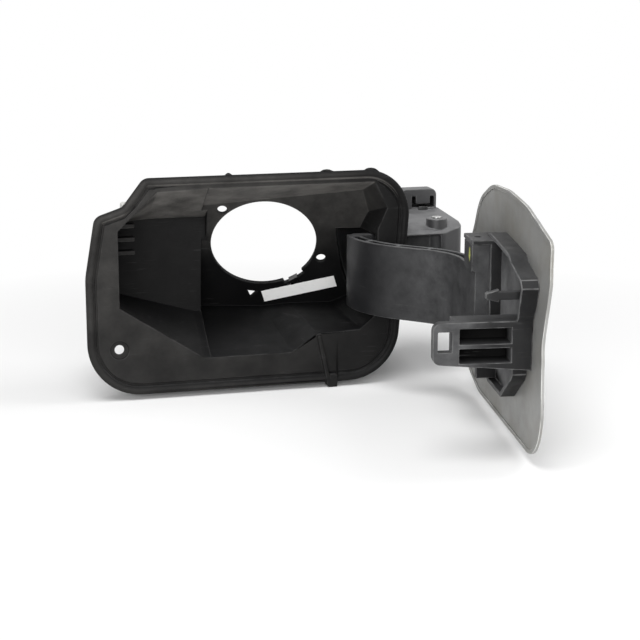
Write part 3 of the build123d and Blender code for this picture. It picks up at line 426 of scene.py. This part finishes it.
def dust_and_light_group():
    """Dust and painted light as a mask.

    It lies on ledges, under ceilings above the middle, on the inside of the open door, and on a band that
    grows from Low to High, thins with the depth and thins from Left to Right. Under ceilings, on the
    inside and on the band it is partly painted light and shade: light bounced up from the floor, and
    shade in the depth.
    """
    inputs = (
        ("Amount", 0.6), ("Patches", 60.0),
        ("Ledges", 1.0), ("Ceilings", 0.0), ("Rise", 0.035), ("Inside", 0.0),
        ("Low", 0.03), ("High", 0.06), ("Depth", 1.0), ("Left", 1.0), ("Right", 2.0),
    )
    tree, given, result = shader_group("Settled dust and painted light", inputs, "Mask")
    where = tree.nodes.new("ShaderNodeTexCoord")
    place = tree.nodes.new("ShaderNodeSeparateXYZ")
    facing = tree.nodes.new("ShaderNodeSeparateXYZ")
    tree.links.new(where.outputs["Object"], place.inputs[0])
    tree.links.new(where.outputs["Normal"], facing.inputs[0])
    upward = ranged(tree, facing.outputs["Z"], *LEDGE_FACING)
    ledge = times(tree, upward, given.outputs["Ledges"])
    # Under ceilings the paler tone is partly dust and partly painted light bounced up from the floor
    below = ranged(tree, facing.outputs["Z"], *CEILING_FACING)
    below = times(tree, below, ranged(tree, place.outputs["Z"], 0.0, given.outputs["Rise"]))
    ceiling = times(tree, below, given.outputs["Ceilings"])
    # On the inside of the door it is partly painted light bounced up from the floor
    inner = ranged(tree, facing.outputs["X"], *INSIDE_FACING)
    inside = times(tree, inner, given.outputs["Inside"])
    # The band is partly dust and partly painted light and shade: it thins into the shaded depth and from
    # Left to Right
    band = ranged(tree, place.outputs["Z"], given.outputs["Low"], given.outputs["High"])
    depth = maths(tree, "DIVIDE", place.outputs["Y"], given.outputs["Depth"], clamp=True)
    band = times(tree, band, less(tree, depth))
    band = times(tree, band, less(tree, upward))
    sideways = ranged(tree, place.outputs["X"], given.outputs["Left"], given.outputs["Right"], 1.0, 0.1)
    band = times(tree, band, sideways)
    speckle = noise(tree, given.outputs["Patches"], 6.0, roughness=0.65)
    patches = ranged(tree, speckle, 0.28, 0.72, 0.25, 1.0)
    mask = times(tree, greatest(tree, ledge, ceiling, inside, band), patches)
    put_mask(tree, mask, given, result)
    return tree


def edge_wear_and_highlight_group():
    """Wear and a painted highlight along the marked edges, as a mask."""
    tree, given, result = shader_group("Edge wear and painted highlight", (("Amount", 0.6), ("Breaks", 140.0)), "Mask")
    edge = tree.nodes.new("ShaderNodeAttribute")
    edge.attribute_name = "edge"
    breaks = ranged(tree, noise(tree, given.outputs["Breaks"], 4.0), 0.36, 0.66)
    mask = times(tree, edge.outputs["Fac"], breaks)
    put_mask(tree, mask, given, result)
    return tree


def deep_shade_group():
    """Painted shade in deep places that little light reaches, as a mask."""
    inputs = (("Amount", 0.8), ("Shut", 0.15), ("Free", 0.6))
    tree, given, result = shader_group("Painted shade in deep places", inputs, "Mask")
    outlook = tree.nodes.new("ShaderNodeAttribute")
    outlook.attribute_name = "open"
    depth = ranged(tree, outlook.outputs["Fac"], given.outputs["Free"], given.outputs["Shut"])
    put_mask(tree, depth, given, result)
    return tree


def scuff_group():
    """Thin streaks in patches, as a mask."""
    inputs = (("Amount", 0.4), ("Scale", 60.0), ("Stretch", 14.0))
    tree, given, result = shader_group("Scuffs", inputs, "Mask")
    where = tree.nodes.new("ShaderNodeTexCoord")
    drawn = tree.nodes.new("ShaderNodeMapping")
    drawn.inputs["Rotation"].default_value = (0.5, 0.35, 0.8)
    stretch = tree.nodes.new("ShaderNodeCombineXYZ")
    stretch.inputs["X"].default_value = 1.0
    stretch.inputs["Y"].default_value = 1.0
    tree.links.new(given.outputs["Stretch"], stretch.inputs["Z"])
    tree.links.new(where.outputs["Object"], drawn.inputs["Vector"])
    tree.links.new(stretch.outputs[0], drawn.inputs["Scale"])
    streaks = ranged(tree, noise(tree, given.outputs["Scale"], 4.0, drawn.outputs[0]), 0.60, 0.70)
    patches = ranged(tree, noise(tree, 45.0, 2.0), 0.48, 0.62)
    mask = times(tree, streaks, patches)
    put_mask(tree, mask, given, result)
    return tree


def shared_group(name, maker):
    """Shader group by its name, made the first time that it is asked for."""
    return bpy.data.node_groups.get(name) or maker()


def effect(tree, name, maker, **values):
    """Shared group in a material with its own values, and its output."""
    node = tree.nodes.new("ShaderNodeGroup")
    node.node_tree = shared_group(name, maker)
    for label, value in values.items():
        node.inputs[label].default_value = value
    return node.outputs[0]


# Materials

def new_material(name):
    """Material with its node tree and Principled shader."""
    material = bpy.data.materials.new(name)
    material.use_nodes = True
    return material, material.node_tree, material.node_tree.nodes["Principled BSDF"]


def tinted(tree, below, tint, mask):
    """Colour below, a socket or a plain colour, with a tint laid over it through a mask."""
    node = tree.nodes.new("ShaderNodeMix")
    node.data_type = "RGBA"
    tree.links.new(mask, node.inputs["Factor"])
    if isinstance(below, bpy.types.NodeSocket):
        tree.links.new(below, node.inputs["A"])
    else:
        node.inputs["A"].default_value = (*below, 1.0)
    node.inputs["B"].default_value = (*tint, 1.0)
    return node.outputs["Result"]


def bumped(tree, shader, height, strength, distance):
    """Bump from a height on a shader."""
    bump = tree.nodes.new("ShaderNodeBump")
    bump.inputs["Strength"].default_value = strength
    bump.inputs["Distance"].default_value = distance
    tree.links.new(height, bump.inputs["Height"])
    tree.links.new(bump.outputs["Normal"], shader.inputs["Normal"])


def dab(tree, place):
    """Upright dab of paint at a place, as a mask with an uneven edge."""
    where = tree.nodes.new("ShaderNodeTexCoord")
    moved = tree.nodes.new("ShaderNodeMapping")
    moved.vector_type = "TEXTURE"
    moved.inputs["Location"].default_value = place
    moved.inputs["Scale"].default_value = DAB_SIZE
    away = tree.nodes.new("ShaderNodeVectorMath")
    away.operation = "LENGTH"
    tree.links.new(where.outputs["Object"], moved.inputs["Vector"])
    tree.links.new(moved.outputs[0], away.inputs[0])
    rough = mottled(tree, 900.0, 3.0, -0.35, 0.35)
    return ranged(tree, maths(tree, "ADD", away.outputs["Value"], rough), 1.1, 0.7)


def moulded(name, base, film, roughness, dust, edge_wear_and_highlight, scuff, deep, specular=0.5, mark=None):
    """Moulded plastic with grain, dust and painted light, painted shade in deep places, worn edges with a
    painted highlight, scuffs and any dab of paint.
    """
    look = bpy.context.scene.fuel_door.colours
    material, tree, shader = new_material(name)
    cloud = mottled(tree, 25.0, 4.0)
    paler = tuple(min(1.0, 1.5 * part + 0.001) for part in base)
    # Dust and painted light, set by each finish
    dust_and_light = effect(tree, "Settled dust and painted light", dust_and_light_group, **dust)
    # Paler edges, partly wear and partly a painted highlight where the edges catch the light
    wear_and_highlight = effect(tree, "Edge wear and painted highlight", edge_wear_and_highlight_group, **edge_wear_and_highlight)
    scuffed = effect(tree, "Scuffs", scuff_group, **scuff)
    tone = tinted(tree, base, paler, cloud)
    tone = tinted(tree, tone, film, dust_and_light)
    # Painted shade darkens the deep places that little light reaches
    shade_mask = effect(tree, "Painted shade in deep places", deep_shade_group, **deep)
    tone = tinted(tree, tone, look.deep, shade_mask)
    tone = tinted(tree, tone, look.wear_and_highlight, wear_and_highlight)
    tone = tinted(tree, tone, look.wear_and_highlight, scuffed)
    if mark:
        tone = tinted(tree, tone, look.mark, dab(tree, mark))
    tree.links.new(tone, shader.inputs["Base Color"])
    rough = mottled(tree, 70.0, 3.0, roughness - 0.06, roughness + 0.06)
    rough = maths(tree, "ADD", rough, times(tree, dust_and_light, 0.3))
    rough = maths(tree, "ADD", rough, times(tree, shade_mask, 0.4), clamp=True)
    tree.links.new(rough, shader.inputs["Roughness"])
    shader.inputs["Specular IOR Level"].default_value = specular
    height = effect(tree, "Moulded grain", grain_group)
    bumped(tree, shader, height, 0.25, 0.15 * MM)
    return material


def silver_paint(name, look):
    """Silver grey door paint: glossy outside, dull with warm grime on the inside."""
    material, tree, shader = new_material(name)
    where = tree.nodes.new("ShaderNodeTexCoord")
    facing = tree.nodes.new("ShaderNodeSeparateXYZ")
    tree.links.new(where.outputs["Normal"], facing.inputs[0])
    outer = ranged(tree, facing.outputs["X"], *OUTER_FACING)
    inner = less(tree, outer)
    cloud = mottled(tree, 30.0, 3.0)
    stains = ranged(tree, noise(tree, 38.0, 6.0, roughness=0.62), 0.42, 0.70)
    stains = times(tree, stains, times(tree, inner, 0.75))
    paler = tuple(min(1.0, 1.18 * part) for part in look.paint)
    tone = tinted(tree, look.paint, paler, cloud)
    tone = tinted(tree, tone, look.grime, stains)
    # Painted highlight along the door's folded edges, partly a brighter bare edge
    wear_and_highlight = effect(tree, "Edge wear and painted highlight", edge_wear_and_highlight_group, Amount=1.0, Breaks=60.0)
    tone = tinted(tree, tone, look.hem_highlight, wear_and_highlight)
    scuffs = effect(tree, "Scuffs", scuff_group, Amount=0.25, Scale=50.0)
    tone = tinted(tree, tone, look.dust, times(tree, scuffs, inner))
    tree.links.new(tone, shader.inputs["Base Color"])
    metal = times(tree, less(tree, stains), 0.55)
    tree.links.new(metal, shader.inputs["Metallic"])
    rough = mottled(tree, 90.0, 4.0, 0.40, 0.52)
    rough = maths(tree, "SUBTRACT", rough, times(tree, outer, 0.14))
    tree.links.new(rough, shader.inputs["Roughness"])
    tree.links.new(times(tree, outer, 0.9), shader.inputs["Coat Weight"])
    shader.inputs["Coat Roughness"].default_value = 0.06
    bumped(tree, shader, noise(tree, 420.0, 2.0), 0.08, 0.1 * MM)
    return material


def steel_material(name, base):
    """Steel with fine turning marks and duller patches."""
    material, tree, shader = new_material(name)
    dull = tuple(0.55 * part for part in base)
    tone = tinted(tree, base, dull, ranged(tree, noise(tree, 220.0, 4.0), 0.40, 0.72))
    tree.links.new(tone, shader.inputs["Base Color"])
    shader.inputs["Metallic"].default_value = 1.0
    tree.links.new(mottled(tree, 500.0, 3.0, 0.22, 0.40), shader.inputs["Roughness"])
    bumped(tree, shader, noise(tree, 2600.0, 2.0), 0.12, 0.05 * MM)
    return material


def plain_material(name, base, roughness, stain):
    """Plain light material with faint stains."""
    material, tree, shader = new_material(name)
    darker = tuple(stain * part for part in base)
    tone = tinted(tree, base, darker, ranged(tree, noise(tree, 300.0, 5.0), 0.55, 0.85))
    tree.links.new(tone, shader.inputs["Base Color"])
    rough = mottled(tree, 900.0, 2.0, roughness - 0.05, roughness + 0.05)
    tree.links.new(rough, shader.inputs["Roughness"])
    bumped(tree, shader, noise(tree, 1800.0, 2.0), 0.1, 0.05 * MM)
    return material


def soft_black(name, look):
    """Soft moulding of the bowl, with dust and painted bounce light under its ceiling, and a film, partly
    dust and partly painted light and shade, that is paler to the left and thins into the recess.
    """
    return moulded(
        name, look.bowl, look.dust, roughness=0.55, specular=0.09,
        # Dust and painted light: paler under the ceiling and to the left, thinning into the shaded recess
        dust=dict(
            Amount=0.9, Patches=45.0, Ledges=0.0, Ceilings=1.3,
            Low=-0.15, High=0.5, Depth=0.055, Left=0.0, Right=0.09,
        ),
        edge_wear_and_highlight=dict(Amount=0.12), scuff=dict(Amount=0.10), deep=dict(Amount=0.6, Shut=0.05, Free=0.4),
    )


def satin_grey(name, look):
    """Hinge box, paler grey on what faces up."""
    return moulded(
        name, look.box, look.film, roughness=0.42, dust=dict(Amount=0.9, Patches=90.0, Low=1.0, High=2.0),
        edge_wear_and_highlight=dict(Amount=0.5), scuff=dict(Amount=0.25), deep=dict(Amount=0.9),
    )


def satin_black(name, look):
    """Gooseneck arm, with a paler grey that grows towards its bracket and a dab of marking paint there.
    """
    return moulded(
        name, look.arm, look.film, roughness=0.42, specular=0.22, mark=DAB_PLACE,
        # This makes the arm paler towards its bracket and on what faces up
        dust=dict(Amount=1.0, Patches=90.0, Ledges=0.7, Low=-0.8, High=1.2, Left=0.115, Right=0.07),
        edge_wear_and_highlight=dict(Amount=0.45), scuff=dict(Amount=0.10, Scale=40.0), deep=dict(Amount=0.8),
    )


def frame_grey(name, look):
    """Door frame, with a film on the striker, a paler tone on its inside that is partly painted light
    bounced up from the floor, painted shade in its pockets and worn rims with a painted highlight.
    """
    return moulded(
        name, look.frame, look.film, roughness=0.45, specular=0.14,
        # Dust and painted light: the inside is paler partly from painted light bounced up from the floor
        dust=dict(
            Amount=1.0, Patches=80.0, Ledges=0.25, Inside=0.85,
            Low=-0.9, High=1.1, Left=0.080, Right=0.092,
        ),
        edge_wear_and_highlight=dict(Amount=0.9), scuff=dict(Amount=0.3), deep=dict(Amount=1.0, Shut=0.14, Free=0.34),
    )


def bright_steel(name, look):
    """Hinge pin, ring, screws and spring."""
    return steel_material(name, look.steel)


def dull_steel(name, look):
    """Earthing tab, clip of the tower and pins of the arm."""
    return steel_material(name, look.dull)


def blank_film(name, look):
    """Label without any print."""
    return plain_material(name, look.label, roughness=0.45, stain=0.86)


def light_stud(name, look):
    """Stud behind the rim."""
    return plain_material(name, look.stud, roughness=0.5, stain=0.7)


FINISHES = {
    "Soft black": soft_black,
    "Satin grey": satin_grey,
    "Satin black": satin_black,
    "Frame grey": frame_grey,
    "Silver paint": silver_paint,
    "Bright steel": bright_steel,
    "Dull steel": dull_steel,
    "Blank film": blank_film,
    "Light stud": light_stud,
}


def finish(name):
    """Material of a finish, made the first time that it is asked for."""
    made = bpy.data.materials.get(name)
    return made or FINISHES[name](name, bpy.context.scene.fuel_door.colours)


# Geometry Nodes

def shape_tree(name, inputs):
    """Empty Geometry Nodes tree with named number inputs and a geometry output."""
    tree = bpy.data.node_groups.new(name, "GeometryNodeTree")
    for label, value in inputs:
        socket = tree.interface.new_socket(label, in_out="INPUT", socket_type="NodeSocketFloat")
        socket.default_value = value
    tree.interface.new_socket("Geometry", in_out="OUTPUT", socket_type="NodeSocketGeometry")
    return tree, tree.nodes.new("NodeGroupInput"), tree.nodes.new("NodeGroupOutput")


def end_tree(tree, shape, result, material):
    """Close a Geometry Nodes tree with smooth shading, realized instances and a material."""
    smooth = tree.nodes.new("GeometryNodeSetShadeSmooth")
    real = tree.nodes.new("GeometryNodeRealizeInstances")
    paint = tree.nodes.new("GeometryNodeSetMaterial")
    paint.inputs["Material"].default_value = material
    tree.links.new(shape, smooth.inputs["Geometry"])
    tree.links.new(smooth.outputs["Geometry"], real.inputs["Geometry"])
    tree.links.new(real.outputs["Geometry"], paint.inputs["Geometry"])
    tree.links.new(paint.outputs["Geometry"], result.inputs["Geometry"])


def grown(name, tree, values):
    """Piece that a Geometry Nodes tree makes from its named values, as a plain mesh."""
    piece = new_piece(name, bpy.data.meshes.new(name))
    modifier = piece.modifiers.new(tree.name, "NODES")
    modifier.node_group = tree
    for item in tree.interface.items_tree:
        if item.in_out == "INPUT" and item.name in values:
            modifier[item.identifier] = values[item.name]
    settle(piece)
    return piece


def spring_tree():
    """Wound spring with two straight legs, upright round the tree's origin."""
    inputs = (("Wire", 0.0008), ("Coil", 0.005), ("Leg", 0.012), ("Turns", 5.75), ("Height", 0.0075))
    tree, given, result = shape_tree("Wound spring", inputs)
    spiral = tree.nodes.new("GeometryNodeCurveSpiral")
    spiral.inputs["Resolution"].default_value = 48
    for label in ("Start Radius", "End Radius"):
        tree.links.new(given.outputs["Coil"], spiral.inputs[label])
    tree.links.new(given.outputs["Turns"], spiral.inputs["Rotations"])
    tree.links.new(given.outputs["Height"], spiral.inputs["Height"])
    turn = tree.nodes.new("GeometryNodeTransform")
    turn.inputs["Rotation"].default_value = (0.0, 0.0, math.radians(90))
    tree.links.new(spiral.outputs["Curve"], turn.inputs["Geometry"])
    join = tree.nodes.new("GeometryNodeJoinGeometry")
    tree.links.new(turn.outputs["Geometry"], join.inputs[0])
    for upper in (False, True):
        start = tree.nodes.new("ShaderNodeCombineXYZ")
        tree.links.new(given.outputs["Coil"], start.inputs["X" if upper else "Y"])
        if upper:
            tree.links.new(given.outputs["Height"], start.inputs["Z"])
        line = tree.nodes.new("GeometryNodeCurvePrimitiveLine")
        line.mode = "DIRECTION"
        tree.links.new(start.outputs[0], line.inputs["Start"])
        line.inputs["Direction"].default_value = (0.0, 1.0, 0.0) if upper else (1.0, 0.0, 0.0)
        tree.links.new(given.outputs["Leg"], line.inputs["Length"])
        tree.links.new(line.outputs["Curve"], join.inputs[0])
    section = tree.nodes.new("GeometryNodeCurvePrimitiveCircle")
    section.inputs["Resolution"].default_value = 14
    tree.links.new(given.outputs["Wire"], section.inputs["Radius"])
    tube = tree.nodes.new("GeometryNodeCurveToMesh")
    tube.inputs["Fill Caps"].default_value = True
    tree.links.new(join.outputs[0], tube.inputs["Curve"])
    tree.links.new(section.outputs["Curve"], tube.inputs["Profile Curve"])
    end_tree(tree, tube.outputs["Mesh"], result, finish("Bright steel"))
    return tree


# Operators

class FUELDOOR_OT_bowl(bpy.types.Operator):
    """Finish the filler bowl, its blank label, earthing tab and stud"""

    bl_idname = "fueldoor.bowl"
    bl_label = "Filler bowl"

    def execute(self, context):
        edges = context.scene.fuel_door.edges
        moulding("filler_bowl", edges.bowl, finish("Soft black"), ROUND_STEPS, BOWL_REACH)
        moulding("blank_label", LABEL_EDGE, finish("Blank film"))
        moulding("earth_tab", edges.small, finish("Dull steel"))
        moulding("rim_stud", edges.small, finish("Light stud"))
        return {"FINISHED"}


class FUELDOOR_OT_box(bpy.types.Operator):
    """Finish the hinge box with its clip, pin, ring and screws"""

    bl_idname = "fueldoor.box"
    bl_label = "Hinge box"

    def execute(self, context):
        edges = context.scene.fuel_door.edges
        moulding("hinge_box", edges.box, finish("Satin grey"), ROUND_STEPS, BOX_REACH)
        for node in ("hinge_pin", "pin_clip", "box_screws"):
            moulding(node, edges.small, finish("Bright steel"))
        moulding("box_clip", edges.small, finish("Dull steel"))
        return {"FINISHED"}


class FUELDOOR_OT_spring(bpy.types.Operator):
    """Wind the spring round the hinge pin"""

    bl_idname = "fueldoor.spring"
    bl_label = "Hinge spring"

    def execute(self, context):
        made = context.scene.fuel_door.spring
        low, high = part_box("hinge_spring")
        pin_low, pin_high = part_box("hinge_pin")
        rise = high.z - low.z - 2 * made.wire
        values = {
            "Wire": made.wire,
            "Coil": made.coil,
            "Leg": made.leg,
            "Turns": made.turns,
            "Height": rise,
        }
        piece = grown("hinge_spring_wound", spring_tree(), values)
        middle = (pin_low + pin_high) / 2
        for point in piece.data.vertices:
            point.co += Vector((middle.x, middle.y, low.z + made.wire))
        placed(piece, "hinge_spring")
        return {"FINISHED"}


class FUELDOOR_OT_arm(bpy.types.Operator):
    """Finish the gooseneck arm and the pins that hold it"""

    bl_idname = "fueldoor.arm"
    bl_label = "Gooseneck arm"

    def execute(self, context):
        edges = context.scene.fuel_door.edges
        moulding("gooseneck_arm", edges.arm, finish("Satin black"), ROUND_STEPS, ARM_REACH)
        moulding("arm_pins", edges.small, finish("Dull steel"))
        return {"FINISHED"}


class FUELDOOR_OT_door(bpy.types.Operator):
    """Finish the painted door and the frame on its inside"""

    bl_idname = "fueldoor.door"
    bl_label = "Door"

    def execute(self, context):
        edges = context.scene.fuel_door.edges
        moulding("door_skin", edges.skin, finish("Silver paint"), ROUND_STEPS)
        moulding("door_frame", edges.frame, finish("Frame grey"), ROUND_STEPS, FRAME_REACH)
        return {"FINISHED"}


class FUELDOOR_OT_stage(bpy.types.Operator):
    """Set up the pale floor, the soft lamps and the camera"""

    bl_idname = "fueldoor.stage"
    bl_label = "Stage"

    def execute(self, context):
        made = context.scene.fuel_door.stage
        self.floor(made)
        for (name, place, target, size), strength in zip(LAMPS, (made.key, made.fill, made.rim)):
            self.lamp(name, place, target, size, strength)
        self.sky(made)
        self.camera(made)
        context.scene.view_settings.view_transform = "Standard"
        return {"FINISHED"}

    def floor(self, made):
        """Pale floor that turns plain white for the camera away from the object."""
        low = min(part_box(node)[0].z for node in frame["nodes"])
        mesh = bpy.data.meshes.new("floor")
        work = bmesh.new()
        bmesh.ops.create_circle(work, cap_ends=True, radius=FLOOR_RADIUS, segments=FLOOR_SIDES)
        bmesh.ops.translate(work, verts=work.verts, vec=(0.0, 0.0, low))
        work.to_mesh(mesh)
        work.free()
        floor = new_piece("floor", mesh)
        material, tree, shader = new_material("Pale floor")
        shader.inputs["Base Color"].default_value = (*made.floor, 1.0)
        shader.inputs["Roughness"].default_value = 0.9
        shader.inputs["Specular IOR Level"].default_value = 0.1
        where = tree.nodes.new("ShaderNodeTexCoord")
        gone = tree.nodes.new("ShaderNodeVectorMath")
        gone.operation = "DISTANCE"
        gone.inputs[1].default_value = (*FADE_MIDDLE, low)
        tree.links.new(where.outputs["Object"], gone.inputs[0])
        far = ranged(tree, gone.outputs["Value"], FADE_FROM, FADE_TO)
        white = tree.nodes.new("ShaderNodeEmission")
        mix = tree.nodes.new("ShaderNodeMixShader")
        tree.links.new(times(tree, far, self.seen(tree)), mix.inputs["Fac"])
        tree.links.new(shader.outputs[0], mix.inputs[1])
        tree.links.new(white.outputs[0], mix.inputs[2])
        tree.links.new(mix.outputs[0], tree.nodes["Material Output"].inputs["Surface"])
        mesh.materials.append(material)

    def seen(self, tree):
        """One for rays of the camera, of reflections and through clear things, and zero for others."""
        rays = tree.nodes.new("ShaderNodeLightPath")
        kinds = ("Is Camera Ray", "Is Glossy Ray", "Is Transmission Ray")
        return greatest(tree, *(rays.outputs[kind] for kind in kinds))

    def lamp(self, name, place, target, size, strength):
        """Square soft lamp that faces a point."""
        data = bpy.data.lights.new(name, "AREA")
        data.energy = strength
        data.size = size
        lamp = bpy.data.objects.new(name, data)
        lamp.location = place
        lamp.rotation_euler = (Vector(target) - Vector(place)).to_track_quat("-Z", "Y").to_euler()
        bpy.context.scene.collection.objects.link(lamp)

    def sky(self, made):
        """Even light all round, and plain white behind the object."""
        world = bpy.data.worlds.new("Even light")
        world.use_nodes = True
        tree = world.node_tree
        strength = ranged(tree, self.seen(tree), 0.0, 1.0, made.sky, 1.0)
        tree.nodes["Background"].inputs["Color"].default_value = (1.0, 1.0, 1.0, 1.0)
        tree.links.new(strength, tree.nodes["Background"].inputs["Strength"])
        bpy.context.scene.world = world

    def camera(self, made):
        """Camera at the photograph's place."""
        data = bpy.data.cameras.new("Camera")
        data.lens = made.lens
        data.sensor_width = SENSOR
        camera = bpy.data.objects.new("Camera", data)
        camera.location = CAMERA_PLACE
        camera.rotation_euler = (math.pi / 2 - CAMERA_DOWN, 0.0, -CAMERA_RIGHT)
        bpy.context.scene.collection.objects.link(camera)
        bpy.context.scene.camera = camera


class FUELDOOR_PT_panel(bpy.types.Panel):
    """Show the sizes and colours, and a button for each group of pieces"""

    bl_idname = "FUELDOOR_PT_panel"
    bl_label = "Fuel door"
    bl_space_type = "VIEW_3D"
    bl_region_type = "UI"
    bl_category = "Fuel door"

    def draw(self, context):
        settings = context.scene.fuel_door
        for group in (settings.edges, settings.colours, settings.spring, settings.stage):
            box = self.layout.box()
            for name in group.__annotations__:
                box.prop(group, name)
        for operator in OPERATORS:
            self.layout.operator(operator.bl_idname)


GROUPS = (FuelDoorEdges, FuelDoorColours, FuelDoorSpring, FuelDoorStage, FuelDoorSettings)
OPERATORS = (
    FUELDOOR_OT_stage,
    FUELDOOR_OT_bowl,
    FUELDOOR_OT_box,
    FUELDOOR_OT_spring,
    FUELDOOR_OT_arm,
    FUELDOOR_OT_door,
)


def register():
    """Register the classes and the scene's settings."""
    for item in (*GROUPS, *OPERATORS, FUELDOOR_PT_panel):
        bpy.utils.register_class(item)
    bpy.types.Scene.fuel_door = bpy.props.PointerProperty(type=FuelDoorSettings)


def unregister():
    """Take the settings and the classes away."""
    del bpy.types.Scene.fuel_door
    for item in reversed((*GROUPS, *OPERATORS, FUELDOOR_PT_panel)):
        bpy.utils.unregister_class(item)


def main():
    """Dress the fuel door."""
    register()
    bpy.ops.fueldoor.stage()
    bpy.ops.fueldoor.bowl()
    bpy.ops.fueldoor.box()
    bpy.ops.fueldoor.spring()
    bpy.ops.fueldoor.arm()
    bpy.ops.fueldoor.door()


if __name__ == "__main__":
    main()
